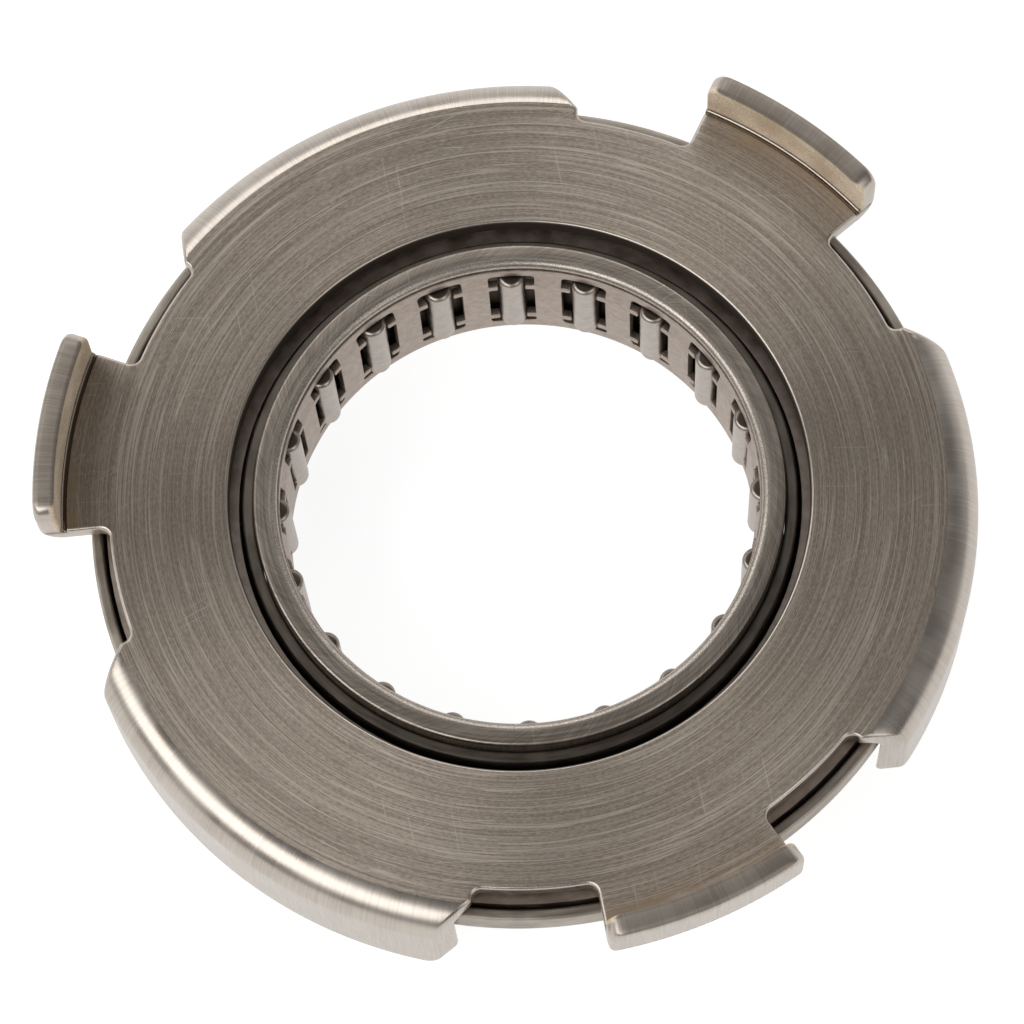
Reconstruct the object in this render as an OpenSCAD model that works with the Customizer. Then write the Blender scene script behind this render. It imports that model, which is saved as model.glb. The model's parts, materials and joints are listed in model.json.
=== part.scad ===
// Combined thrust and radial needle bearing of the kind that sits behind a geared hub.
// A pressed upper race with three turned-up lugs and three turned-down rim segments runs on a
// ring of thrust rollers over a channel-shaped lower race, and a caged needle ring fills the bore.
// Frame: Z is the bearing axis, and Z = 0 is the ground face on top of the upper race.

/* [Shaft and needles] */
// Diameter of the shaft that the needles run on
shaft_d = 37; // [28:0.5:45]
// Diameter of one needle
needle_d = 2.2; // [2:0.1:3]
// Length of one needle
needle_len = 8.5; // [7.5:0.1:12.5]
// Number of needles round the shaft
needle_count = 20; // [12:1:22]
// Radius on both ends of a needle
needle_end_r = 0.45; // [0.1:0.05:0.6]

/* [Needle ring] */
// Wall of the ring behind its raceway
ring_wall = 0.6; // [0.6:0.05:2]
// Axial thickness of the lip at each end of the ring
lip_t = 0.7; // [0.7:0.05:2]
// Height of each lip above the raceway
lip_h = 1.3; // [0.9:0.05:1.5]
// Round on the outer corners of the ring
ring_round = 0.3; // [0.1:0.05:0.5]
// Round on the inner edge of each lip
lip_round = 0.6; // [0.2:0.05:0.6]

/* [Needle cage] */
// Sheet thickness of the needle cage
cage_sheet = 0.65; // [0.4:0.05:0.75]
// Axial width of the closed rim at each end of the cage
cage_rim = 1; // [0.8:0.1:2]
// Depth of the middle of the webs inside the needles' pitch circle
web_inset = 0.6; // [0.4:0.05:0.7]
// Open slot on each side of a needle
slot_side = 0.8; // [0.3:0.05:0.8]
// Axial width of one claw that holds a needle in
claw_w = 0.7; // [0.5:0.1:1.4]
// Distance from a claw to the near end of the pocket
claw_set = 1.4; // [0.7:0.05:1.4]
// Corner radius of a pocket
pocket_r = 0.45; // [0.2:0.05:0.6]

/* [Thrust rollers] */
// Diameter of one thrust roller
roller_d = 4; // [3:0.1:5]
// Length of one thrust roller
roller_len = 7.8; // [5.8:0.1:9.8]
// Number of thrust rollers
roller_count = 24; // [12:1:28]
// Radius on both ends of a thrust roller
roller_end_r = 0.3; // [0.1:0.05:0.6]

/* [Thrust cage] */
// Sheet thickness of both halves of the thrust cage
thrust_sheet = 0.6; // [0.4:0.05:0.9]
// Radial width of the closed rims inside and outside the rollers
thrust_rim = 1.35; // [1:0.05:2]
// Height of the thrust cage from its top plate to its bottom plate
thrust_cage_h = 2.3; // [1.8:0.1:2.8]

/* [Lower race] */
// Sheet thickness of the lower race
lower_t = 0.9; // [0.6:0.05:1.5]
// Inside bend radius at the foot of its lip and of its wall
lower_bend = 0.6; // [0.2:0.1:1]
// Depth of the end of its inner lip below the ground face
lip_drop = 1.6; // [0.4:0.1:2.4]
// Round on the free edges of its lip and wall
lower_round = 0.25; // [0.1:0.05:0.3]

/* [Upper race] */
// Sheet thickness of the upper race
race_t = 1.8; // [1.2:0.1:2.5]
// Round on the edges of its bore
bore_round = 0.35; // [0.1:0.05:0.6]
// Corner radius in the floor of each notch
notch_corner = 0.8; // [0.4:0.1:1.2]
// Round along the floor of each notch
notch_round = 0.35; // [0.1:0.05:0.6]
// Inside bend radius of the rim segments
rim_bend = 1.2; // [0.8:0.1:2]
// Flat width from the notch floor to the rim bend
rim_flat = 0.9; // [0.2:0.1:1.5]
// Depth of the rim below the underside of the lower race
rim_skirt = 3.8; // [1:0.1:6]
// Angle that each rim segment spans at the notches
rim_arc = 62; // [50:1:70]
// Angle by which the ends of each rim segment slant in from the bend on
rim_slant = 44; // [10:1:50]
// Corner radius at the lower ends of each rim segment
rim_corner = 1.6; // [0.8:0.1:3]
// Angle that each lug spans
lug_arc = 24.6; // [16:0.2:30]
// Flat width from the notch floor to the upstand of each lug
lug_flat = 3.8; // [3:0.1:4.5]
// Outside bend radius of the lugs
lug_bend = 1.6; // [0.8:0.1:1.8]
// Height of the lugs above the ground face
lug_h = 4.1; // [3.2:0.1:6]
// Radius of the groove along the foot of each upstand
groove_r = 0.25; // [0.1:0.05:0.4]
// Round on the edges of the lug tips
lug_round = 0.3; // [0.1:0.05:0.5]
// Corner radius at the top ends of each lug
lug_corner = 1.6; // [0.5:0.1:2.4]

/* [Clearances] */
// Running clearance between a roller and the race or raceway that it rolls on
run_gap = 0.03; // [0.01:0.01:0.1]
// Clearance between a roller and the sides of its cage pocket
pocket_gap = 0.05; // [0.03:0.01:0.15]
// End play of a thrust roller in its cage pocket, at each end
end_play = 0.1; // [0.05:0.05:0.3]
// End play of a needle in its pocket, at each end
needle_play = 0.4; // [0.1:0.05:0.6]
// Axial clearance between the needle cage and each lip of the ring
cage_play = 0.15; // [0.1:0.05:0.4]
// Radial step from the bore of the lips in to the needle cage
cage_step = 0.15; // [0.05:0.05:0.3]
// Radial clearance between the needle ring and the lip of the lower race
pilot_gap = 0.1; // [0.05:0.05:1]
// Radial clearance between that lip and the bore of the upper race
bore_gap = 0.95; // [0.3:0.05:1.5]
// Radial clearance between the thrust cage and the lower race
thrust_gap = 0.35; // [0.1:0.05:0.6]
// Radial clearance between the lower race's wall and the rim of the upper race
rim_gap = 0.35; // [0.2:0.05:0.6]

/* [Hidden] */
$fn = 96;
sliver = 0.01;
lug_count = 3;
first_lug = 90;
needle_phase = 3.4;
lug_pitch = 360 / lug_count;

// Needle bearing, from the shaft outwards
pitch_r = shaft_d / 2 + needle_d / 2;
raceway_r = shaft_d / 2 + needle_d + run_gap;
ring_r = raceway_r + ring_wall;
lip_r = raceway_r - lip_h;
pocket_len = needle_len + 2 * needle_play;
cage_len = pocket_len + 2 * cage_rim;
ring_len = cage_len + 2 * (cage_play + lip_t);
needle_mid_z = -ring_len / 2;
cage_rim_r = lip_r - cage_step;
cage_web_r = pitch_r - web_inset;
pocket_w = needle_d + 2 * slot_side;
claw_out = pocket_len / 2 - claw_set;
claw_in = claw_out - claw_w;

// Radii of the thrust set, from the needle ring outwards
lip_bore_r = ring_r + pilot_gap;
lip_outer_r = lip_bore_r + lower_t;
race_bore_r = lip_outer_r + bore_gap;
cage_in_r = lip_outer_r + thrust_gap;
roller_in_r = cage_in_r + thrust_rim + end_play;
roller_out_r = roller_in_r + roller_len;
cage_out_r = roller_out_r + end_play + thrust_rim;
wall_in_r = cage_out_r + thrust_gap;
wall_r = wall_in_r + lower_t;
rim_in_r = wall_r + rim_gap;
rim_r = rim_in_r + race_t;
relief_r = rim_in_r - rim_bend - rim_flat;
lug_foot_r = relief_r + lug_flat;
bend_r = rim_in_r - rim_bend;
// The lug and rim sections start here, well inside the notch floor
root_r = relief_r - 3 * notch_round;

// Heights of the thrust set, from the ground face down
roller_z = -race_t - run_gap - roller_d / 2;
lower_top_z = roller_z - roller_d / 2 - run_gap;
lower_z = lower_top_z - lower_t;
// The wall of the lower race ends in a round just below the rim's bend
wall_top_z = -race_t - rim_bend + lower_round;
rim_z = lower_z - rim_skirt;

function two_digits(i) = i < 10 ? str("0", i) : str(i);
needle_names = [for (i = [1 : needle_count]) str("needle_", two_digits(i))];
roller_names = [for (i = [1 : roller_count]) str("thrust_roller_", two_digits(i))];
race_names = ["upper_race", "lower_race", "thrust_cage_top", "thrust_cage_bottom"];

// Waste between a square corner at the origin and a round; the stock lies in the first quadrant
module round_waste(r) {
    difference() {
        translate([-sliver, -sliver]) square(r + sliver);
        translate([r, r]) circle(r);
    }
}

// The same waste for a corner whose stock lies towards sx along x and sy along y
module round_at(x, y, sx, sy, r) {
    translate([x, y]) mirror([sx < 0 ? 1 : 0, 0]) mirror([0, sy < 0 ? 1 : 0]) round_waste(r);
}

// Quarter or less of a bent strip: centre at the origin, from straight down round by the angle
module bend_arc(inner_r, thickness, angle) {
    reach = 2 * (inner_r + thickness);
    intersection() {
        difference() {
            circle(inner_r + thickness);
            circle(inner_r);
        }
        polygon([for (a = [0, angle / 2, angle]) reach * [sin(a), -cos(a)], [0, 0]]);
    }
}

// Waste outside a rounded corner of a wall that ends at y = 0 and at z = 0, over a run along x
module corner_waste(run, r) {
    difference() {
        translate([0, -r, -r]) cube([run, r + race_t, r + race_t]);
        translate([-sliver, -r, -r]) rotate([0, 90, 0]) cylinder(r = r + sliver, h = run + 2 * sliver);
    }
}

// Waste outside a slanting end of a rim segment that begins at the origin, with its rounded lower corner
module rim_end_waste() {
    run = 3 * race_t + rim_bend;
    rotate(rim_slant) {
        translate([-sliver, -run, -sliver]) cube([run, run, race_t - rim_z]);
        mirror([0, 1, 0]) mirror([0, 0, 1]) corner_waste(run, rim_corner);
    }
}

// Section of the flat ground disc
module disc_section() {
    difference() {
        translate([race_bore_r, -race_t]) square([relief_r - race_bore_r, race_t]);
        round_at(race_bore_r, 0, 1, -1, bore_round);
        round_at(race_bore_r, -race_t, 1, 1, bore_round);
        round_at(relief_r, 0, -1, -1, notch_round);
    }
}

// Section of a rim segment: flat root, bend and straight skirt
module rim_section() {
    bend_z = -race_t - rim_bend;
    edge_round = race_t / 4;
    translate([root_r, -race_t]) square([bend_r - root_r, race_t]);
    translate([bend_r, bend_z]) rotate(90) bend_arc(rim_bend, race_t, 90);
    difference() {
        translate([rim_in_r, rim_z]) square([race_t, bend_z - rim_z]);
        round_at(rim_in_r, rim_z, 1, 1, edge_round);
        round_at(rim_r, rim_z, -1, 1, edge_round);
    }
}

// Section of a lug: flat root, groove that bites under the upstand, and upstand with a rounded tip
module lug_section() {
    tip_r = lug_foot_r + race_t;
    difference() {
        union() {
            translate([root_r, -race_t]) square([tip_r - root_r, race_t]);
            translate([lug_foot_r, -race_t]) square([race_t, race_t + lug_h]);
        }
        translate([lug_foot_r - groove_r * 3 / 4, 0]) circle(groove_r);
        round_at(tip_r, -race_t, -1, 1, lug_bend);
        round_at(tip_r, lug_h, -1, -1, lug_round);
        round_at(lug_foot_r, lug_h, 1, -1, lug_round);
    }
}

// Plan of the round in one corner of a notch whose side runs along x; it bites into floor and side
module notch_corner_plan() {
    bite = notch_round;
    difference() {
        translate([relief_r - bite, -bite]) square(notch_corner + bite);
        translate([relief_r + notch_corner, notch_corner]) circle(notch_corner + sliver);
    }
}

// Pressed and hardened upper race
module upper_race() {
    lug_side = lug_arc / 2;
    rim_side = (lug_pitch - rim_arc) / 2;
    lug_turns = [for (i = [0 : lug_count - 1]) first_lug + i * lug_pitch];
    // The ends of the rims slant from just past the start of the bend
    slant_r = bend_r + notch_round / 2;
    // The rounds in the notch corners end just inside both faces of the sheet
    set_in = notch_round / 4;
    color("#8a8378") difference() {
        union() {
            rotate_extrude() disc_section();
            for (turn = lug_turns) rotate(turn) {
                rotate(-lug_side) rotate_extrude(angle = lug_arc) lug_section();
                rotate(rim_side) rotate_extrude(angle = rim_arc) rim_section();
                for (side = [0, 1]) mirror([0, side, 0]) translate([0, 0, set_in - race_t]) {
                    rotate(lug_side) linear_extrude(race_t - 2 * set_in) notch_corner_plan();
                    rotate(rim_side) linear_extrude(race_t - 2 * set_in) mirror([0, 1]) notch_corner_plan();
                }
            }
        }
        for (turn = lug_turns) rotate(turn) for (side = [0, 1]) mirror([0, side, 0]) {
            rotate(lug_side) translate([relief_r, 0, lug_h]) corner_waste(lug_flat + 2 * race_t, lug_corner);
            rotate(rim_side) translate([slant_r, 0, rim_z]) rim_end_waste();
        }
    }
}

// Channel-shaped lower race, drawn from thinner sheet
module lower_race() {
    outer_bend = lower_bend + lower_t;
    color("#9a938a") rotate_extrude() {
        difference() {
            union() {
                translate([lip_bore_r, lower_z]) square([wall_r - lip_bore_r, lower_t]);
                translate([lip_bore_r, lower_z]) square([lower_t, -lip_drop - lower_z]);
                translate([wall_in_r, lower_z]) square([lower_t, wall_top_z - lower_z]);
            }
            round_at(lip_bore_r, lower_z, 1, 1, outer_bend);
            round_at(wall_r, lower_z, -1, 1, outer_bend);
            round_at(lip_bore_r, -lip_drop, 1, -1, lower_round);
            round_at(lip_outer_r, -lip_drop, -1, -1, lower_round);
            round_at(wall_in_r, wall_top_z, 1, -1, lower_round);
            round_at(wall_r, wall_top_z, -1, -1, lower_round);
        }
        // The same waste shape fills the inner corners of the channel
        round_at(lip_outer_r, lower_top_z, 1, 1, lower_bend);
        round_at(wall_in_r, lower_top_z, -1, 1, lower_bend);
    }
}

// Pockets for the thrust rollers, which hug each roller on both sides of its axis
module thrust_pockets() {
    for (i = [1 : roller_count]) rotate(i * 360 / roller_count)
        translate([roller_in_r - end_play, 0, roller_z]) rotate([0, 90, 0])
            cylinder(d = roller_d + 2 * pocket_gap, h = roller_len + 2 * end_play);
}

// Upper half of the thrust cage: plate with a flange down round its outside
module thrust_cage_top() {
    top_z = roller_z + thrust_cage_h / 2;
    color("#b3aa9c") difference() {
        rotate_extrude() {
            translate([cage_in_r, top_z - thrust_sheet]) square([cage_out_r - cage_in_r, thrust_sheet]);
            translate([cage_out_r - thrust_sheet, top_z - thrust_cage_h])
                square([thrust_sheet, thrust_cage_h]);
        }
        thrust_pockets();
    }
}

// Lower half of the thrust cage: plate with a flange up round its inside, closed in by the upper half
module thrust_cage_bottom() {
    bottom_z = roller_z - thrust_cage_h / 2;
    color("#a59c8f") difference() {
        rotate_extrude() {
            translate([cage_in_r, bottom_z])
                square([cage_out_r - thrust_sheet - cage_in_r, thrust_sheet]);
            translate([cage_in_r, bottom_z]) square([thrust_sheet, thrust_cage_h - thrust_sheet]);
        }
        thrust_pockets();
    }
}

// One roller standing on the origin, with rounded ends
module round_ended(d, length, end_r) {
    rotate_extrude() difference() {
        square([d / 2, length]);
        round_at(d / 2, 0, -1, 1, end_r);
        round_at(d / 2, length, -1, -1, end_r);
    }
}

// One thrust roller, lying on a radius of the bearing
module thrust_roller(i) {
    color("#c9c4bd") rotate(i * 360 / roller_count) translate([roller_in_r, 0, roller_z])
        rotate([0, 90, 0]) round_ended(roller_d, roller_len, roller_end_r);
}

// Ground outer ring of the needle bearing, with a lip at each end
module needle_ring() {
    color("#7d766d") translate([0, 0, -ring_len]) rotate_extrude() difference() {
        translate([lip_r, 0]) square([ring_r - lip_r, ring_len]);
        translate([lip_r - sliver, lip_t]) square([lip_h + sliver, ring_len - 2 * lip_t]);
        for (end = [0, 1]) {
            round_at(ring_r, end * ring_len, -1, 1 - 2 * end, ring_round);
            round_at(lip_r, end * ring_len, 1, 1 - 2 * end, lip_round);
        }
    }
}

// Stepped section of the needle cage: set in between the claws and out at both rims
module cage_section() {
    step_z = pocket_len / 2 - claw_set / 4;
    rim_line = [[cage_web_r, claw_out], [cage_rim_r, step_z], [cage_rim_r, cage_len / 2]];
    inner = concat([for (i = [2 : -1 : 0]) [rim_line[i].x, -rim_line[i].y]], rim_line);
    outer = [for (i = [5 : -1 : 0]) inner[i] + [cage_sheet, 0]];
    polygon(concat(inner, outer));
}

// Window for one needle: wide slots beside it, and claws between the slots that follow its round
module needle_pocket() {
    from_r = cage_web_r - cage_sheet;
    depth = 2 * cage_sheet + cage_rim_r - from_r;
    half_w = pocket_w / 2;
    translate([pitch_r, 0, -pocket_len / 2]) cylinder(d = needle_d + 2 * pocket_gap, h = pocket_len);
    translate([from_r, -half_w, -claw_in]) cube([depth, pocket_w, 2 * claw_in]);
    for (end = [0, 1]) mirror([0, 0, end]) translate([from_r, 0, 0]) rotate([90, 0, 90]) linear_extrude(depth)
        difference() {
            translate([-half_w, claw_out]) square([pocket_w, claw_set]);
            round_at(-half_w, pocket_len / 2, 1, -1, pocket_r);
            round_at(half_w, pocket_len / 2, -1, -1, pocket_r);
        }
}

// Window cage of the needles, pressed from sheet with its webs set in between the claws
module needle_cage() {
    color("#c2b3a4") translate([0, 0, needle_mid_z]) difference() {
        rotate_extrude() cage_section();
        for (i = [1 : needle_count]) rotate(needle_phase + i * 360 / needle_count) needle_pocket();
    }
}

// One needle, standing in its pocket
module needle(i) {
    color("#cfcac3") rotate(needle_phase + i * 360 / needle_count)
        translate([pitch_r, 0, needle_mid_z - needle_len / 2])
            round_ended(needle_d, needle_len, needle_end_r);
}

upper_race();
lower_race();
thrust_cage_top();
thrust_cage_bottom();
needle_ring();
needle_cage();
for (i = [1 : roller_count]) thrust_roller(i);
for (i = [1 : needle_count]) needle(i);
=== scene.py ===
import json
import math

import bmesh
import bpy
from mathutils import Matrix, Vector
from mathutils.geometry import delaunay_2d_cdt

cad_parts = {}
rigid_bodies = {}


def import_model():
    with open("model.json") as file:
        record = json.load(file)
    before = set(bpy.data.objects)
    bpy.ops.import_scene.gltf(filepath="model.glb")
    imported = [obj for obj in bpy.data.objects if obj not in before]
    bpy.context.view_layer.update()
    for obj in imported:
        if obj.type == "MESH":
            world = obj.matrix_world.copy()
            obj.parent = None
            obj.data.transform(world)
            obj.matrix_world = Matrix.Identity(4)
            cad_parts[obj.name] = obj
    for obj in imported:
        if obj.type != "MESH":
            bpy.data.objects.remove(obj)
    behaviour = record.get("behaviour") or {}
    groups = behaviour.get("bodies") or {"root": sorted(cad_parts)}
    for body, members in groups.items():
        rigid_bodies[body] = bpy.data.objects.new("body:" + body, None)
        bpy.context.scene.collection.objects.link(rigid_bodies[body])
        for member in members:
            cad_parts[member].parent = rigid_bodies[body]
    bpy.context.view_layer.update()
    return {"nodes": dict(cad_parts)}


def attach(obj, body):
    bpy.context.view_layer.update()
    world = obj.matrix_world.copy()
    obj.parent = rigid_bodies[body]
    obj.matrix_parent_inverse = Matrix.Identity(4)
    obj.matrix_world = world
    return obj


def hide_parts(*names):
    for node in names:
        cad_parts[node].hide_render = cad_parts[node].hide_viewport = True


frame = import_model()


# Needle ring
# The outer ring of the needle bearing, turned from bearing steel, hardened, and ground outside and on
# both ends. A lip at each end with a polished inner edge keeps the needle cage in.

def rounded_section(corners, steps=8):
    """Closed section of (radius, height) points in mm from corners given as (radius, height, round)."""
    points = []
    for i, (r, z, size) in enumerate(corners):
        here = Vector((r, z))
        if size == 0:
            points.append(here)
            continue
        back = (Vector(corners[i - 1][:2]) - here).normalized()
        ahead = (Vector(corners[(i + 1) % len(corners)][:2]) - here).normalized()
        half = back.angle(ahead) / 2
        centre = here + (back + ahead).normalized() * (size / math.sin(half))
        first = here + back * (size / math.tan(half)) - centre
        last = here + ahead * (size / math.tan(half)) - centre
        start = math.atan2(first.y, first.x)
        sweep = (math.atan2(last.y, last.x) - start + math.pi) % (2 * math.pi) - math.pi
        for k in range(steps + 1):
            turn = start + sweep * k / steps
            points.append(centre + size * Vector((math.cos(turn), math.sin(turn))))
    return points


def finish_mesh(name, points, faces, crease):
    """Object from points in mm, smooth but for creases over the given angle in degrees."""
    mesh = bpy.data.meshes.new(name)
    mesh.from_pydata([p * 0.001 for p in points], [], faces)
    shell = bmesh.new()
    shell.from_mesh(mesh)
    bmesh.ops.remove_doubles(shell, verts=shell.verts, dist=1e-6)
    bmesh.ops.recalc_face_normals(shell, faces=shell.faces)
    shell.to_mesh(mesh)
    shell.free()
    mesh.polygons.foreach_set("use_smooth", [True] * len(mesh.polygons))
    mesh.set_sharp_from_angle(angle=math.radians(crease))
    piece = bpy.data.objects.new(name, mesh)
    bpy.context.scene.collection.objects.link(piece)
    even = piece.modifiers.new("even_normals", "WEIGHTED_NORMAL")
    even.mode = "FACE_AREA"
    even.weight = 90
    even.keep_sharp = True
    return piece


def turned_piece(name, section, turns, crease=40):
    """Solid of revolution about Z from a closed section."""
    points, faces = [], []
    count = len(section)
    for j in range(turns):
        turn = 2 * math.pi * j / turns
        points += [Vector((p.x * math.cos(turn), p.x * math.sin(turn), p.y)) for p in section]
        for k in range(count):
            here, there = j * count, (j + 1) % turns * count
            faces.append((here + k, here + (k + 1) % count, there + (k + 1) % count, there + k))
    return finish_mesh(name, points, faces, crease)


def put(tree, kind, inputs=None, **settings):
    """Shader node with its input sockets set to values or linked to other sockets."""
    node = tree.nodes.new("ShaderNode" + kind)
    for key, value in settings.items():
        setattr(node, key, value)
    for key, value in (inputs or {}).items():
        if isinstance(value, bpy.types.NodeSocket):
            tree.links.new(value, node.inputs[key])
        else:
            node.inputs[key].default_value = value
    return node


def maths(tree, operation, *values):
    """Output of a math node."""
    return put(tree, "Math", dict(enumerate(values)), operation=operation).outputs[0]


def ramp(tree, value, low, high, to_low=0.0, to_high=1.0):
    """Value taken from low..high to to_low..to_high, with smooth ends."""
    inputs = {"Value": value, "From Min": low, "From Max": high, "To Min": to_low, "To Max": to_high}
    return put(tree, "MapRange", inputs, interpolation_type="SMOOTHSTEP").outputs[0]


def tint(tree, factor, first, second):
    """Colour between first and second by factor."""
    inputs = {"Factor": factor, 6: first, 7: second}
    return put(tree, "Mix", inputs, data_type="RGBA").outputs[2]


def new_effect(name, inputs, outputs):
    """Empty node group with float inputs (name, value) and float outputs, and its two end nodes."""
    group = bpy.data.node_groups.new(name, "ShaderNodeTree")
    for label, value in inputs:
        socket = group.interface.new_socket(label, in_out="INPUT", socket_type="NodeSocketFloat")
        socket.default_value = value
    for label in outputs:
        group.interface.new_socket(label, in_out="OUTPUT", socket_type="NodeSocketFloat")
    return group, group.nodes.new("NodeGroupInput"), group.nodes.new("NodeGroupOutput")


def effect(tree, group, **inputs):
    """A node group placed in a material."""
    node = tree.nodes.new("ShaderNodeGroup")
    node.node_tree = group
    for key, value in inputs.items():
        node.inputs[key].default_value = value
    return node


# Marks that a wheel or tool leaves: fine lines round the axis, or across it where Run is high
round_marks, ends_in, ends_out = new_effect(
    "round_marks", [("Lines", 5.0), ("Run", 5.0), ("Slant", 0.0)], ["Marks", "Radius", "Height"])
place = put(round_marks, "TexCoord").outputs["Object"]
axes = put(round_marks, "SeparateXYZ", {0: place})
flat = put(round_marks, "CombineXYZ", {0: axes.outputs[0], 1: axes.outputs[1]}).outputs[0]
length = put(round_marks, "VectorMath", {0: flat}, operation="LENGTH").outputs[1]
radius = maths(round_marks, "MULTIPLY", length, 1000)
level = maths(round_marks, "MULTIPLY", axes.outputs[2], 1000)
lean = maths(round_marks, "MULTIPLY", radius, ends_in.outputs["Slant"])
leant = put(round_marks, "VectorRotate", {"Vector": flat, "Angle": lean}, rotation_type="Z_AXIS").outputs[0]
outward = put(round_marks, "VectorMath", {0: leant}, operation="NORMALIZE").outputs[0]
outward_axes = put(round_marks, "SeparateXYZ", {0: outward})
along = [maths(round_marks, "MULTIPLY", outward_axes.outputs[k], ends_in.outputs["Run"]) for k in (0, 1)]
across = maths(round_marks, "MULTIPLY", maths(round_marks, "ADD", radius, level), ends_in.outputs["Lines"])
lines = put(round_marks, "CombineXYZ", {0: across, 1: along[0], 2: along[1]}).outputs[0]
noise = put(round_marks, "TexNoise", {"Vector": lines, "Scale": 1.0, "Detail": 2.0, "Roughness": 0.55})
round_marks.links.new(noise.outputs[0], ends_out.inputs["Marks"])
round_marks.links.new(radius, ends_out.inputs["Radius"])
round_marks.links.new(level, ends_out.inputs["Height"])

# Hairline scratches from handling, in three directions and in patches
hair_scratches, ends_in, ends_out = new_effect("hair_scratches", [("Amount", 0.5)], ["Scratches"])
place = put(hair_scratches, "TexCoord").outputs["Object"]
fields = []
thin_and_long = (8000, 130, 300)
for lean, shift in ((0.4, 0.0), (0.9, 7.0), (2.3, 13.0)):
    leaning = {"Vector": place, "Angle": lean}
    turned = put(hair_scratches, "VectorRotate", leaning, rotation_type="Z_AXIS").outputs[0]
    stretch = {"Vector": turned, "Location": (shift, shift, 0), "Scale": thin_and_long}
    drawn = put(hair_scratches, "Mapping", stretch)
    scratch = {"Vector": drawn.outputs[0], "Scale": 1.0, "Detail": 0.0, "Distortion": 0.4}
    fields.append(ramp(hair_scratches, put(hair_scratches, "TexNoise", scratch).outputs[0], 0.74, 0.84))
most = maths(hair_scratches, "MAXIMUM", maths(hair_scratches, "MAXIMUM", fields[0], fields[1]), fields[2])
patches = put(hair_scratches, "TexNoise", {"Vector": place, "Scale": 90.0, "Detail": 1.0}).outputs[0]
most = maths(hair_scratches, "MULTIPLY", most, ramp(hair_scratches, patches, 0.42, 0.6))
result = maths(hair_scratches, "MULTIPLY", most, ends_in.outputs["Amount"])
hair_scratches.links.new(result, ends_out.inputs["Scratches"])

# Clouding of the surface from oil and handling
clouding, ends_in, ends_out = new_effect("clouding", [("Size", 3.0)], ["Cloud", "Grain"])
place = put(clouding, "TexCoord").outputs["Object"]
scale = maths(clouding, "DIVIDE", 1000, ends_in.outputs["Size"])
cloud = put(clouding, "TexNoise", {"Vector": place, "Scale": scale, "Detail": 3.0})
grain = put(clouding, "TexNoise", {"Vector": place, "Scale": 9000.0, "Detail": 2.0})
clouding.links.new(cloud.outputs[0], ends_out.inputs["Cloud"])
clouding.links.new(grain.outputs[0], ends_out.inputs["Grain"])


def steel(name, rough):
    """Metal with a Principled shader, of a plain roughness until a texture is linked to it."""
    material = bpy.data.materials.new(name)
    material.use_nodes = True
    tree = material.node_tree
    shader = tree.nodes["Principled BSDF"]
    shader.inputs["Metallic"].default_value = 1.0
    shader.inputs["Roughness"].default_value = rough
    return material, tree, shader


def bumped(tree, height, strength, distance):
    """Normal of a bumped surface; distance in metres."""
    return put(tree, "Bump", {"Height": height, "Strength": strength, "Distance": distance}).outputs[0]


ring_top, ring_foot, ring_out, raceway, lip_in, lip_thick = 0.0, -13.0, 21.33, 20.73, 19.43, 0.7
ring_middle = (ring_top + ring_foot) / 2
outer_round, lip_round, lip_edge = 0.3, 0.6, 0.08
round_steps = 288

ring_steel, tree, shader = steel("ring_ground_steel", 0.36)
lay = effect(tree, round_marks, Lines=0.5, Run=120.0, Slant=0.07)
marks = effect(tree, round_marks, Lines=6.0, Run=3.0)
scratches = effect(tree, hair_scratches, Amount=0.5)
cloud = effect(tree, clouding, Size=2.5)
radius, level = lay.outputs["Radius"], lay.outputs["Height"]
face_tone = maths(tree, "ADD", maths(tree, "MULTIPLY", lay.outputs["Marks"], 0.7),
                  maths(tree, "MULTIPLY", cloud.outputs["Cloud"], 0.3))
colour = tint(tree, ramp(tree, face_tone, 0.34, 0.66), (0.27, 0.231, 0.193, 1), (0.40, 0.348, 0.296, 1))
colour = tint(tree, scratches.outputs[0], colour, (0.70, 0.66, 0.60, 1))
lip_tone = ramp(tree, cloud.outputs["Grain"], 0.38, 0.62)
lip_colour = tint(tree, lip_tone, (0.36, 0.315, 0.27, 1), (0.56, 0.50, 0.44, 1))
on_lip = ramp(tree, radius, 20.2, 19.95)
colour = tint(tree, on_lip, colour, lip_colour)
from_middle = maths(tree, "ABSOLUTE", maths(tree, "SUBTRACT", level, ring_middle))
between_lips, inside_ring = ramp(tree, from_middle, 5.9, 5.7), ramp(tree, radius, 21.1, 20.9)
# Painted shade: the raceway between the lips, inside the ring, is tinted near black for the shade of the
# enclosed space behind the cage windows
painted_raceway_shade = maths(tree, "MULTIPLY", between_lips, inside_ring)
colour = tint(tree, painted_raceway_shade, colour, (0.10, 0.082, 0.065, 1))
tree.links.new(colour, shader.inputs["Base Color"])
rough = ramp(tree, marks.outputs["Marks"], 0.35, 0.65, 0.32, 0.46)
tree.links.new(rough, shader.inputs["Roughness"])
tree.links.new(bumped(tree, face_tone, 0.3, 0.00001), shader.inputs["Normal"])

needle_ring = turned_piece("needle_ring_turned", rounded_section([
    (ring_out, ring_foot, outer_round), (ring_out, ring_top, outer_round), (lip_in, ring_top, lip_round),
    (lip_in, ring_top - lip_thick, lip_edge), (raceway, ring_top - lip_thick, 0.0),
    (raceway, ring_foot + lip_thick, 0.0), (lip_in, ring_foot + lip_thick, lip_edge),
    (lip_in, ring_foot, lip_round),
]), round_steps)
needle_ring.data.materials.append(ring_steel)
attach(needle_ring, "needle_ring")
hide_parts("needle_ring")


# Needle cage
# A window cage pressed from thin steel strip and rolled round. Its webs are set in between the claws
# that keep the needles from falling inwards, and both rims stay closed.

def with_normals(points):
    """Points of a closed loop with normals on the left of its direction."""
    loop = []
    for i, here in enumerate(points):
        run = (points[(i + 1) % len(points)] - points[i - 1]).normalized()
        loop.append((here, Vector((-run.y, run.x))))
    return loop


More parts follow.
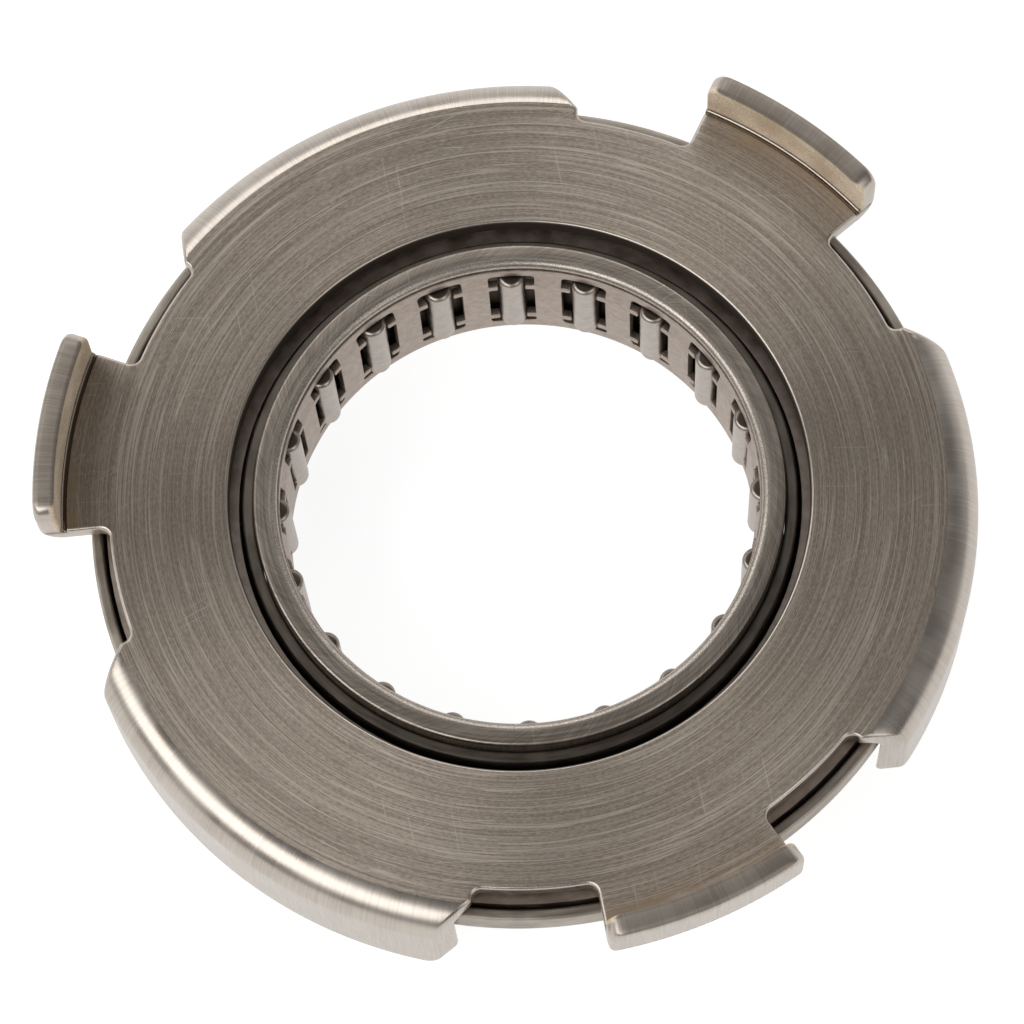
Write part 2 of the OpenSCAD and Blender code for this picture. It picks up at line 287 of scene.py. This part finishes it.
def encloses(polygon, point):
    """Whether the point lies inside the polygon."""
    inner = False
    for here, there in zip(polygon, polygon[1:] + polygon[:1]):
        if (here.y > point.y) != (there.y > point.y):
            if point.x < here.x + (point.y - here.y) * (there.x - here.x) / (there.y - here.y):
                inner = not inner
    return inner


def pressed_sheet(name, loops, inside, lay, spread, thick, face_round, back_round, crease=40):
    """Sheet piece: the plan between its edge loops is filled, given a thickness and rounded edges, and laid.

    loops hold (plan point, normal into the sheet), the outer edge first, and inside holds rows of plan
    points that stay edges. lay(plan point, depth) gives a place in mm, and spread(plan point) gives a
    place in the plane where the plan is filled with triangles."""
    steps = 5
    quarter = [math.pi / 2 * k / steps for k in range(steps + 1)]
    rows = [(face_round * (1 - math.sin(a)), face_round * (1 - math.cos(a))) for a in quarter]
    rows += [(back_round * (1 - math.cos(a)), thick - back_round * (1 - math.sin(a))) for a in quarter]
    points, faces, plan, edges = [], [], [], []
    for loop in loops:
        first = len(plan)
        plan += [spread(p + n * rows[0][0]) for p, n in loop]
        edges += [(first + i, first + (i + 1) % len(loop)) for i in range(len(loop))]
    rim_count = len(plan)
    for row in inside:
        edges += [(len(plan) + i, len(plan) + i + 1) for i in range(len(row) - 1)]
        plan += [spread(p) for p in row]
    _, _, triangles, sources, _, _ = delaunay_2d_cdt(plan, edges, [], 1, 1e-7)
    face_of, back_of, loop_of = {}, {}, {}
    first = 0
    for number, loop in enumerate(loops):
        count = len(loop)
        start = len(points)
        for inset, depth in rows:
            points += [lay(p + n * inset, depth) for p, n in loop]
        for k in range(len(rows) - 1):
            for i in range(count):
                here, there = start + k * count, start + (k + 1) * count
                faces.append((here + i, here + (i + 1) % count, there + (i + 1) % count, there + i))
        for i in range(count):
            face_of[first + i] = start + i
            back_of[first + i] = start + (len(rows) - 1) * count + i
            loop_of[first + i] = number
        first += count
    for i, p in enumerate([p for row in inside for p in row]):
        face_of[rim_count + i] = len(points)
        points.append(lay(p, 0.0))
        back_of[rim_count + i] = len(points)
        points.append(lay(p, thick))
    for triangle in triangles:
        corners = [sources[i][0] for i in triangle]
        owners = {loop_of.get(i) for i in corners}
        number = owners.pop()
        if not owners and number:
            middle = sum((plan[i] for i in corners), Vector((0, 0))) / 3
            if encloses([plan[i] for i in loop_of if loop_of[i] == number], middle):
                continue
        faces.append([face_of[i] for i in corners])
        faces.append([back_of[i] for i in reversed(corners)])
    return finish_mesh(name, points, faces, crease)


cage_steel, tree, shader = steel("cage_strip_steel", 0.44)
marks = effect(tree, round_marks, Lines=2.0, Run=30.0)
cloud = effect(tree, clouding, Size=1.6)
cage_tone = maths(tree, "MULTIPLY", maths(tree, "ADD", marks.outputs["Marks"], cloud.outputs["Cloud"]), 0.5)
colour = tint(tree, ramp(tree, cage_tone, 0.36, 0.64), (0.38, 0.315, 0.265, 1), (0.49, 0.415, 0.36, 1))
tree.links.new(colour, shader.inputs["Base Color"])
tree.links.new(ramp(tree, cloud.outputs["Cloud"], 0.3, 0.7, 0.38, 0.52), shader.inputs["Roughness"])
tree.links.new(bumped(tree, cage_tone, 0.3, 0.00001), shader.inputs["Normal"])

strip, cage_mid, cage_half, roll_r = 0.65, -6.5, 5.65, 19.3
web_r, rim_r = 19.0, 19.28
claw_from, claw_to, window_half, step_end = 2.55, 3.25, 4.65, 4.3
needle_count, needle_phase, slot_half, claw_half = 20, 3.4, 1.9, 1.13
pocket_round, slot_round, claw_round, strip_round = 0.45, 0.12, 0.15, 0.08
edge_gap, rim_gap, rim_row, round_parts = 0.35, 0.606, 5.15, 240
web_points = (-0.7, -0.35, 0, 0.35, 0.7)


def cage_wall(v):
    """Inner radius of the cage at a height v from its middle."""
    rise = min(1.0, max(0.0, (abs(v) - claw_to) / (step_end - claw_to)))
    return web_r + (rim_r - web_r) * rise


def cage_lay(plan_point, depth):
    turn = plan_point.x / roll_r
    r = cage_wall(plan_point.y) + depth
    return Vector((r * math.cos(turn), r * math.sin(turn), plan_point.y + cage_mid))


def cage_spread(plan_point):
    turn = plan_point.x / roll_r
    r = 3 * roll_r + plan_point.y
    return Vector((r * math.cos(turn), r * math.sin(turn)))


def fine_points(corners, spacing):
    """Corner points with more points between them, no further apart than the spacing."""
    points = []
    for i, here in enumerate(corners):
        there = corners[(i + 1) % len(corners)]
        parts = max(1, math.ceil((there - here).length / spacing))
        points += [here.lerp(there, k / parts) for k in range(parts)]
    return points


window = rounded_section([
    (slot_half, -window_half, pocket_round), (slot_half, -claw_to, slot_round),
    (claw_half, -claw_to, claw_round), (claw_half, -claw_from, claw_round),
    (slot_half, -claw_from, slot_round), (slot_half, claw_from, slot_round),
    (claw_half, claw_from, claw_round), (claw_half, claw_to, claw_round),
    (slot_half, claw_to, slot_round), (slot_half, window_half, pocket_round),
    (-slot_half, window_half, pocket_round), (-slot_half, claw_to, slot_round),
    (-claw_half, claw_to, claw_round), (-claw_half, claw_from, claw_round),
    (-slot_half, claw_from, slot_round), (-slot_half, -claw_from, slot_round),
    (-claw_half, -claw_from, claw_round), (-claw_half, -claw_to, claw_round),
    (-slot_half, -claw_to, slot_round), (-slot_half, -window_half, pocket_round),
], 4)
window = fine_points(window, edge_gap)
cage_loops = []
for v, way in ((cage_half, -1), (-cage_half, 1)):
    turns = [2 * math.pi * roll_r * way * i / round_parts for i in range(round_parts)]
    cage_loops.append([(Vector((u, v)), Vector((0, -math.copysign(1, v)))) for u in turns])
cage_inside = []
for i in range(needle_count):
    middle = math.radians(needle_phase + 360 / needle_count * (i + 1)) * roll_r
    cage_loops.append(with_normals([p + Vector((middle, 0)) for p in reversed(window)]))
    web_middle = middle + math.pi * roll_r / needle_count
    for v in (-step_end, -claw_to, claw_to, step_end):
        cage_inside.append([Vector((web_middle + u, v)) for u in web_points])
    for v in (-rim_row, rim_row):
        cage_inside.append([Vector((middle + rim_gap * k, v)) for k in range(-4, 6)])
needle_cage = pressed_sheet(
    "needle_cage_strip", cage_loops, cage_inside, cage_lay, cage_spread, strip, strip_round, strip_round)
needle_cage.data.materials.append(cage_steel)
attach(needle_cage, "needle_cage")
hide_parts("needle_cage")


# Needles
# Twenty hardened needles, ground and tumbled, with rounded ends. They lie in the cage's windows and
# run on the ring's raceway and on the shaft.

def lapped_steel(name, end_from):
    """Tumbled steel of a roller, darker on its ends from a height in mm on."""
    material, tree, shader = steel(name, 0.4)
    cloud = effect(tree, clouding, Size=1.2)
    marks = effect(tree, round_marks, Lines=5.0, Run=1.5)
    tone = maths(tree, "MULTIPLY", maths(tree, "ADD", marks.outputs["Marks"], cloud.outputs["Cloud"]), 0.5)
    colour = tint(tree, ramp(tree, tone, 0.36, 0.64), (0.42, 0.37, 0.325, 1), (0.52, 0.47, 0.42, 1))
    end = ramp(tree, maths(tree, "ABSOLUTE", marks.outputs["Height"]), end_from, end_from + 0.08)
    tree.links.new(tint(tree, end, colour, (0.14, 0.115, 0.095, 1)), shader.inputs["Base Color"])
    tree.links.new(ramp(tree, cloud.outputs["Cloud"], 0.3, 0.7, 0.28, 0.40), shader.inputs["Roughness"])
    tree.links.new(bumped(tree, tone, 0.2, 0.00001), shader.inputs["Normal"])
    return material


needle_r, needle_half, needle_end_round, pitch_r = 1.1, 4.25, 0.45, 19.6
needle_end_from, needle_steps, spin_step = 4.15, 56, 1.7
needle_steel = lapped_steel("needle_lapped_steel", needle_end_from)
needle_section = rounded_section([
    (0.0, -needle_half, 0.0), (needle_r, -needle_half, needle_end_round),
    (needle_r, needle_half, needle_end_round), (0.0, needle_half, 0.0),
])
needle_master = turned_piece("needle_turned_01", needle_section, needle_steps)
needle_master.data.materials.append(needle_steel)
for i in range(needle_count):
    needle = needle_master if i == 0 else needle_master.copy()
    if i:
        needle.name = "needle_turned_%02d" % (i + 1)
        bpy.context.scene.collection.objects.link(needle)
    turn = math.radians(needle_phase + 360 / needle_count * (i + 1))
    needle.location = 0.001 * Vector((pitch_r * math.cos(turn), pitch_r * math.sin(turn), cage_mid))
    needle.rotation_euler = (0, 0, turn + spin_step * i)
for i in range(needle_count):
    needle = bpy.data.objects["needle_turned_%02d" % (i + 1)]
    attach(needle, "needle_%02d" % (i + 1))
    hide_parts("needle_%02d" % (i + 1))


# Lower race
# A channel-shaped ring drawn from thinner strip and hardened. Its inner lip stands in the bore of the
# upper race, and its outer wall stands inside the turned-down rims.

drawn_steel, tree, shader = steel("drawn_race_steel", 0.5)
marks = effect(tree, round_marks, Lines=2.5, Run=8.0)
cloud = effect(tree, clouding, Size=3.0)
drawn_tone = maths(tree, "ADD", marks.outputs["Marks"], cloud.outputs["Cloud"])
drawn_tone = maths(tree, "MULTIPLY", drawn_tone, 0.5)
light_part = ramp(tree, drawn_tone, 0.36, 0.64)
wall_colour = tint(tree, light_part, (0.34, 0.295, 0.25, 1), (0.50, 0.445, 0.385, 1))
# Painted shade: the inner lip, deep in the gap under the upper race's bore, takes a near-black brown for the
# shade that falls there
lip_colour = tint(tree, light_part, (0.13, 0.112, 0.092, 1), (0.20, 0.175, 0.148, 1))
painted_lip_shade = ramp(tree, marks.outputs["Radius"], 23.4, 22.6)
tree.links.new(tint(tree, painted_lip_shade, wall_colour, lip_colour), shader.inputs["Base Color"])
tree.links.new(ramp(tree, marks.outputs["Marks"], 0.35, 0.65, 0.42, 0.58), shader.inputs["Roughness"])
tree.links.new(bumped(tree, drawn_tone, 0.25, 0.00001), shader.inputs["Normal"])

lip_bore, lip_outer, wall_inner, wall_outer = 21.36, 22.33, 33.73, 34.63
lip_top, wall_top, channel_floor, race_foot = -1.6, -2.75, -5.86, -6.76
outer_bend, inner_bend, sheet_edge = 1.5, 0.6, 0.25
lower_race = turned_piece("lower_race_drawn", rounded_section([
    (lip_bore, race_foot, outer_bend), (wall_outer, race_foot, outer_bend),
    (wall_outer, wall_top, sheet_edge), (wall_inner, wall_top, sheet_edge),
    (wall_inner, channel_floor, inner_bend), (lip_outer, channel_floor, inner_bend),
    (lip_outer, lip_top, sheet_edge), (lip_bore, lip_top, sheet_edge),
]), round_steps)
lower_race.data.materials.append(drawn_steel)
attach(lower_race, "lower_race")
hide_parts("lower_race")


# Thrust cage and thrust rollers
# Two stamped halves, one closed in over the other, carry twenty-four rollers between the races. Only a
# few roller ends show through the notches, so the solids stay and take the finish of their kind.

for node in ("thrust_cage_top", "thrust_cage_bottom"):
    frame["nodes"][node].data.materials.clear()
    frame["nodes"][node].data.materials.append(cage_steel)
# No point of a roller reaches the second value, so the rollers get no dark ends
roller_count, past_all_ends = 24, 9.0
roller_steel = lapped_steel("roller_lapped_steel", past_all_ends)
for i in range(roller_count):
    roller = frame["nodes"]["thrust_roller_%02d" % (i + 1)]
    roller.data.materials.clear()
    roller.data.materials.append(roller_steel)


# Upper race
# One pressing of thicker strip: a ring is punched with three lugs, three rim segments and six notches.
# The lugs are bent up along a groove, their inner faces coined, and the rims are bent down with
# slanting ends. The top face is then ground.

race_thick, race_bore, notch_floor = 1.8, 23.28, 32.88
rim_start, rim_inner_bend, rim_low = 33.78, 1.2, -10.56
lug_face, lug_inner_bend, lug_top, groove_size = 36.68, 0.2, 4.1, 0.25
lug_half, rim_from = math.radians(12.3), math.radians(29.0)
slant_start, slant = 33.955, math.tan(math.radians(44))
lug_corner, rim_corner, notch_corner = 1.6, 1.6, 0.8
face_round, back_round = 0.3, 0.55
third, sixth = 2 * math.pi / 3, math.pi / 3
lug_start = lug_face - lug_inner_bend
rim_bend_run = (rim_inner_bend + race_thick / 2) * math.pi / 2
lug_bend_run = (lug_inner_bend + race_thick / 2) * math.pi / 2
rim_bend_low = -(rim_inner_bend + race_thick)
rim_end = rim_start + rim_bend_run + rim_bend_low - rim_low
lug_end = lug_start + lug_bend_run + lug_top - lug_inner_bend


def from_lug(turn):
    """Angle from the middle of the nearest lug."""
    return (turn - math.pi / 2 + sixth) % third - sixth


def rim_place(s, depth):
    """Radius and height of the rims at a developed radius s and a depth in the sheet."""
    if s < rim_start:
        return s, -depth
    if s < rim_start + rim_bend_run:
        bend = (s - rim_start) / (rim_inner_bend + race_thick / 2)
        reach = -rim_bend_low - depth
        return rim_start + reach * math.sin(bend), rim_bend_low + reach * math.cos(bend)
    return rim_start - rim_bend_low - depth, rim_bend_low - (s - rim_start - rim_bend_run)


def rim_half(s, depth):
    """Half of the angle that a rim spans; from the bend on, planes that slant in cut its ends."""
    r = rim_place(s, depth)[0]
    if r < slant_start:
        return sixth - rim_from
    lean = slant * slant
    x = (lean * slant_start + math.sqrt(r * r * (1 + lean) - lean * slant_start ** 2)) / (1 + lean)
    return sixth - rim_from - math.atan2((x - slant_start) * slant, x)


def race_lay(plan_point, depth):
    s = plan_point.length
    turn = math.atan2(plan_point.y, plan_point.x)
    if abs(from_lug(turn)) < (lug_half + rim_from) / 2:
        off = (s - lug_start) / groove_size
        dip = groove_size * math.sqrt(max(0.0, 1 - off * off))
        depth = dip + depth * (race_thick - dip) / race_thick
        if s < lug_start:
            r, z = s, -depth
        elif s < lug_start + lug_bend_run:
            bend = (s - lug_start) / (lug_inner_bend + race_thick / 2)
            r = lug_start + (lug_inner_bend + depth) * math.sin(bend)
            z = lug_inner_bend - (lug_inner_bend + depth) * math.cos(bend)
        else:
            r, z = lug_face + depth, lug_inner_bend + s - lug_start - lug_bend_run
    else:
        r, z = rim_place(s, depth)
        if s > rim_start:
            off = from_lug(turn + sixth)
            turn += off * (rim_half(s, depth) / rim_half(s, 0.0) - 1)
    return Vector((r * math.cos(turn), r * math.sin(turn), z))


def polar(s, turn):
    return Vector((s * math.cos(turn), s * math.sin(turn)))


def arc(s, start, end, spacing):
    """Points along a circle about the axis, without the last one."""
    parts = max(1, math.ceil(abs(end - start) * s / spacing))
    return [polar(s, start + (end - start) * k / parts) for k in range(parts)]


def corner(s, turn, size, start, end, steps=7):
    """Points of a corner round about a middle, without the last one."""
    return [polar(s, turn) + polar(size, start + (end - start) * k / steps) for k in range(steps)]


def half_edge():
    """Edge of the blank from the middle of a lug at angle 0 to the middle of a rim at 60 degrees."""
    quarter = math.pi / 2
    lug_lean = math.asin(lug_corner / (lug_end - lug_corner))
    notch_lean = math.asin(notch_corner / (notch_floor + notch_corner))
    rim_lean = math.asin(rim_corner / (rim_end - rim_corner))
    rim_low_side = sixth - rim_half(rim_end, 0.0)
    lug_side_top = (lug_end - lug_corner) * math.cos(lug_lean)
    side_foot = (notch_floor + notch_corner) * math.cos(notch_lean)
    rim_side_low = (rim_end - rim_corner) * math.cos(rim_lean)
    spacing, lug_parts, rim_parts = 0.5, 40, 36
    edge = arc(lug_end, 0, lug_half - lug_lean, spacing)
    edge += corner(lug_end - lug_corner, lug_half - lug_lean, lug_corner,
                   lug_half - lug_lean, lug_half + quarter)
    for k in range(lug_parts):
        edge.append(polar(lug_side_top + (side_foot - lug_side_top) * k / lug_parts, lug_half))
    edge += corner(notch_floor + notch_corner, lug_half + notch_lean, notch_corner,
                   lug_half - quarter, lug_half + notch_lean - 2 * quarter)
    edge += arc(notch_floor, lug_half + notch_lean, rim_from - notch_lean, spacing)
    edge += corner(notch_floor + notch_corner, rim_from - notch_lean, notch_corner,
                   rim_from - notch_lean + 2 * quarter, rim_from + quarter)
    for k in range(rim_parts):
        s = side_foot + (rim_side_low - side_foot) * k / rim_parts
        edge.append(polar(s, sixth - rim_half(s, 0.0)))
    edge += corner(rim_end - rim_corner, rim_low_side + rim_lean, rim_corner,
                   rim_low_side - quarter, rim_low_side + rim_lean)
    edge += arc(rim_end, rim_low_side + rim_lean, sixth, 0.6)
    return edge


half = half_edge()
rim_middle = polar(rim_end, sixth)
mirrored = [Vector((p.x, -p.y)) for p in reversed(half[1:])]
outline = []
for k in range(3):
    lug_turn = math.pi / 2 + k * third
    for points, turn in ((half + [rim_middle], lug_turn), (mirrored, lug_turn + third)):
        spin = Matrix.Rotation(turn, 2)
        outline += [spin @ p for p in points]
bore = [polar(race_bore, -2 * math.pi * i / round_steps) for i in range(round_steps)]

# Rows of points on the flat face, over the groove and bend of each lug, and down each rim
face_rows, clear_edge = (25.5, 28.5, 31.0, 32.1), 0.5
face_parts, lug_parts, rim_parts, bend_parts = 180, 24, 60, 12
lug_rows = [33.6, 34.4, 35.2, 35.8]
groove_steps = (-1.2, -1.0, -0.9, -0.7, -0.4, 0, 0.4, 0.7, 0.9, 1.0)
lug_rows += [lug_start + groove_size * step for step in groove_steps]
lug_rows += [lug_start + lug_bend_run * j / bend_parts for j in range(3, bend_parts + 1)]
lug_rows += [39.2, 40.2]
rim_rows = [rim_start + rim_bend_run * j / bend_parts for j in range(bend_parts + 1)]
rim_rows += [rim_start + rim_bend_run + step for step in (1.2, 2.6, 4.0, 5.4, 6.4)]
race_inside = [[polar(s, 2 * math.pi * i / face_parts) for i in range(face_parts)] for s in face_rows]
for k in range(3):
    lug_turn = math.pi / 2 + k * third
    for s in lug_rows:
        span = lug_half - clear_edge / s
        shares = [2 * i / lug_parts - 1 for i in range(lug_parts + 1)]
        race_inside.append([polar(s, lug_turn + span * share) for share in shares])
    rim_turn = lug_turn + sixth
    for s in rim_rows:
        span = rim_half(s, 0.0) - clear_edge / s
        if s > rim_end - rim_corner:
            span -= (rim_corner - math.sqrt(rim_corner ** 2 - (s - rim_end + rim_corner) ** 2)) / s
        shares = [2 * i / rim_parts - 1 for i in range(rim_parts + 1)]
        race_inside.append([polar(s, rim_turn + span * share) for share in shares])

# The ground top face: fine lines round the axis, which spread light across themselves, with a few clear ones
ground_steel, tree, shader = steel("race_ground_steel", 0.5)
shader.inputs["Anisotropic"].default_value = 0.85
shader.inputs["Anisotropic Rotation"].default_value = 0.25
tree.links.new(put(tree, "Tangent", direction_type="RADIAL", axis="Z").outputs[0], shader.inputs["Tangent"])
fine = effect(tree, round_marks, Lines=11.0, Run=1.6)
broad = effect(tree, round_marks, Lines=4.0, Run=1.0)
short = effect(tree, round_marks, Lines=9.0, Run=75.0)
scratches = effect(tree, hair_scratches, Amount=0.45)
cloud = effect(tree, clouding, Size=5.0)
ground_tone = maths(tree, "MULTIPLY", fine.outputs["Marks"], 0.45)
ground_tone = maths(tree, "MULTIPLY_ADD", broad.outputs["Marks"], 0.15, ground_tone)
ground_tone = maths(tree, "MULTIPLY_ADD", short.outputs["Marks"], 0.4, ground_tone)
colour = tint(tree, ramp(tree, ground_tone, 0.39, 0.61), (0.29, 0.24, 0.195, 1), (0.46, 0.394, 0.328, 1))
colour = tint(tree, ramp(tree, fine.outputs["Marks"], 0.62, 0.74, 0.0, 0.6), colour, (0.60, 0.53, 0.46, 1))
colour = tint(tree, scratches.outputs[0], colour, (0.74, 0.69, 0.62, 1))
single = effect(tree, round_marks, Lines=2.2, Run=0.7)
off_line = maths(tree, "ABSOLUTE", maths(tree, "SUBTRACT", single.outputs["Marks"], 0.5))
on_line = ramp(tree, off_line, 0.024, 0.008)
colour = tint(tree, maths(tree, "MULTIPLY", on_line, 0.6), colour, (0.66, 0.58, 0.50, 1))
# Painted shade: the flat between radius 34.4 and 36.2 mm, towards the lug grooves, is darker and browner in
# cloudy patches
painted_shade_near_lugs = maths(tree, "MULTIPLY", ramp(tree, fine.outputs["Radius"], 34.4, 36.2),
                ramp(tree, cloud.outputs["Cloud"], 0.4, 0.65))
tree.links.new(tint(tree, painted_shade_near_lugs, colour, (0.38, 0.295, 0.21, 1)), shader.inputs["Base Color"])
tree.links.new(ramp(tree, ground_tone, 0.36, 0.64, 0.54, 0.46), shader.inputs["Roughness"])
grooves = maths(tree, "MULTIPLY_ADD", on_line, 0.3, fine.outputs["Marks"])
tree.links.new(bumped(tree, grooves, 0.35, 0.00001), shader.inputs["Normal"])

# The bent and cut surfaces: streaks over the bends, tan coined lugs, painted shade in the groove and on the
# bore wall, dull cut ends
formed_steel, tree, shader = steel("race_formed_steel", 0.4)
drawn = effect(tree, round_marks, Lines=0.25, Run=330.0)
cloud = effect(tree, clouding, Size=4.0)
radius, level = drawn.outputs["Radius"], drawn.outputs["Height"]
drawn_tone = maths(tree, "MULTIPLY", drawn.outputs["Marks"], 0.5)
drawn_tone = maths(tree, "MULTIPLY_ADD", cloud.outputs["Cloud"], 0.5, drawn_tone)
colour = tint(tree, ramp(tree, drawn_tone, 0.36, 0.64), (0.47, 0.415, 0.36, 1), (0.58, 0.522, 0.463, 1))
coined = maths(tree, "MULTIPLY", ramp(tree, level, 0.15, 0.4), ramp(tree, radius, 37.3, 36.9))
lug_tone = maths(tree, "MULTIPLY", maths(tree, "ADD", cloud.outputs["Cloud"], cloud.outputs["Grain"]), 0.5)
lug_colour = tint(tree, ramp(tree, lug_tone, 0.38, 0.62), (0.72, 0.60, 0.45, 1), (0.97, 0.88, 0.75, 1))
colour = tint(tree, coined, colour, lug_colour)
cut_end = ramp(tree, level, 3.8, 4.0)
cut_colour = tint(tree, ramp(tree, drawn_tone, 0.40, 0.60), (0.29, 0.25, 0.21, 1), (0.36, 0.318, 0.275, 1))
colour = tint(tree, cut_end, colour, cut_colour)
# Painted shade: the bore wall is tinted near black for the shadow inside the bore
painted_shade_bore_wall = ramp(tree, radius, 23.42, 23.32)
colour = tint(tree, painted_shade_bore_wall, colour, (0.13, 0.105, 0.085, 1))
# Painted shade in the groove at the foot of each lug
painted_groove_shade = maths(tree, "MULTIPLY", ramp(tree, radius, 36.2, 36.3), ramp(tree, level, -0.02, -0.1))
painted_groove_shade = maths(tree, "MULTIPLY", painted_groove_shade, ramp(tree, level, -0.45, -0.35))
tree.links.new(tint(tree, painted_groove_shade, colour, (0.26, 0.205, 0.15, 1)), shader.inputs["Base Color"])
drawn_rough = ramp(tree, cloud.outputs["Cloud"], 0.36, 0.64, 0.25, 0.33)
matte = maths(tree, "MAXIMUM", coined, maths(tree, "MULTIPLY", cut_end, 0.4))
matte = maths(tree, "MAXIMUM", matte, maths(tree, "MULTIPLY", painted_shade_bore_wall, 0.7))
rough = put(tree, "Mix", {"Factor": matte, 2: drawn_rough, 3: 0.85}, data_type="FLOAT").outputs[0]
tree.links.new(rough, shader.inputs["Roughness"])
tree.links.new(bumped(tree, cloud.outputs["Cloud"], 0.1, 0.000003), shader.inputs["Normal"])

upper_race = pressed_sheet(
    "upper_race_pressed", [with_normals(outline), with_normals(bore)], race_inside,
    race_lay, lambda p: p, race_thick, face_round, back_round)
upper_race.data.materials.append(ground_steel)
upper_race.data.materials.append(formed_steel)
off_level = 0.00003
for face in upper_race.data.polygons:
    face.material_index = 0 if abs(face.center.z) < off_level else 1
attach(upper_race, "upper_race")
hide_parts("upper_race")


# Studio
# A pale floor under the bearing, a dim room with one pale side, and three soft boxes: a strong one at
# the front left, a weak one at the front right and one behind. A long lens looks down at 70 degrees.

floor_material = bpy.data.materials.new("pale_floor")
floor_material.use_nodes = True
tree = floor_material.node_tree
tree.nodes.remove(tree.nodes["Principled BSDF"])
seen = put(tree, "LightPath")
mirrored_ray = maths(tree, "MAXIMUM", seen.outputs["Is Glossy Ray"], seen.outputs["Is Transmission Ray"])
seen_glow, mirrored_glow = 0.86, 0.72
direct = maths(tree, "MULTIPLY", mirrored_ray, mirrored_glow)
direct = maths(tree, "MULTIPLY_ADD", seen.outputs["Is Camera Ray"], seen_glow, direct)
matte = put(tree, "BsdfDiffuse", {"Color": (0.35, 0.35, 0.35, 1)})
glow = put(tree, "Emission", {"Color": (1, 1, 1, 1), "Strength": direct})
both = put(tree, "AddShader", {0: matte.outputs[0], 1: glow.outputs[0]})
tree.links.new(both.outputs[0], tree.nodes["Material Output"].inputs["Surface"])
floor_mesh = bpy.data.meshes.new("floor")
floor_reach, floor_level = 4, -0.01302
floor_turns = [math.radians(a) for a in range(0, 360, 5)]
floor_ring = [(floor_reach * math.cos(a), floor_reach * math.sin(a), floor_level) for a in floor_turns]
floor_mesh.from_pydata(floor_ring, [], [list(range(len(floor_ring)))])
floor = bpy.data.objects.new("floor", floor_mesh)
floor_mesh.materials.append(floor_material)
bpy.context.scene.collection.objects.link(floor)

world = bpy.data.worlds.new("dim_room")
bpy.context.scene.world = world
world.use_nodes = True
tree = world.node_tree
view_turn = math.radians(42.5)
pale_side = view_turn + math.radians(100)
direction = put(tree, "TexCoord").outputs["Generated"]
upward = put(tree, "SeparateXYZ", {0: direction}).outputs[2]
pale_way = (math.cos(pale_side), math.sin(pale_side), 0)
sideways = put(tree, "VectorMath", {0: direction, 1: pale_way}, operation="DOT_PRODUCT").outputs[1]
walls = tint(tree, ramp(tree, sideways, -0.6, 0.7), (0.14, 0.14, 0.14, 1), (0.85, 0.85, 0.85, 1))
sky = tint(tree, ramp(tree, upward, 0.05, 0.75), walls, (0.18, 0.18, 0.18, 1))
tree.links.new(sky, tree.nodes["Background"].inputs["Color"])

# Each soft box: name, azimuth from the view, elevation, width, height and watts
lamp_reach = 0.6
soft_boxes = (
    ("soft_box_left", 213, 40, 0.85, 0.36, 2.3), ("soft_box_right", 312, 36, 0.3, 0.55, 0.6),
    ("soft_box_back", 100, 42, 0.9, 0.25, 1.4))
for name, azimuth, elevation, wide, high, watts in soft_boxes:
    lamp = bpy.data.lights.new(name, "AREA")
    lamp.shape = "RECTANGLE"
    lamp.size, lamp.size_y = wide, high
    lamp.energy = watts
    box = bpy.data.objects.new(name, lamp)
    bpy.context.scene.collection.objects.link(box)
    turn, lift = math.radians(azimuth) + view_turn, math.radians(elevation)
    away = Vector((math.cos(turn) * math.cos(lift), math.sin(turn) * math.cos(lift), math.sin(lift)))
    box.location = away * lamp_reach
    box.rotation_euler = away.to_track_quat("Z", "Y").to_euler()

# The camera's place is given in bore radii of the upper race, from the middle of its ground face
unit, distance, slide, climb = 0.02328, 13.44, 0.0310, 0.0766
focal_pixels, picture_pixels, sensor = 3918, 1024, 36
elevation, roll = math.radians(69.99), math.radians(-5.55)
right = Vector((1, 0, 0))
ahead = Vector((0, math.cos(elevation), -math.sin(elevation)))
above = Vector((0, math.sin(elevation), math.cos(elevation)))
spot = (-distance * ahead - slide * right - climb * above) * unit
picture_right = math.cos(roll) * right + math.sin(roll) * above
picture_up = math.cos(roll) * above - math.sin(roll) * right
stand = Matrix((picture_right, picture_up, -ahead)).transposed().to_4x4()
stand.translation = spot
lens = bpy.data.cameras.new("long_lens")
lens.sensor_width = sensor
lens.lens = sensor * focal_pixels / picture_pixels
lens.clip_start = 0.01
camera = bpy.data.objects.new("long_lens", lens)
bpy.context.scene.collection.objects.link(camera)
camera.matrix_world = Matrix.Rotation(view_turn, 4, "Z") @ stand
bpy.context.scene.camera = camera
bpy.context.scene.view_settings.view_transform = "Standard"
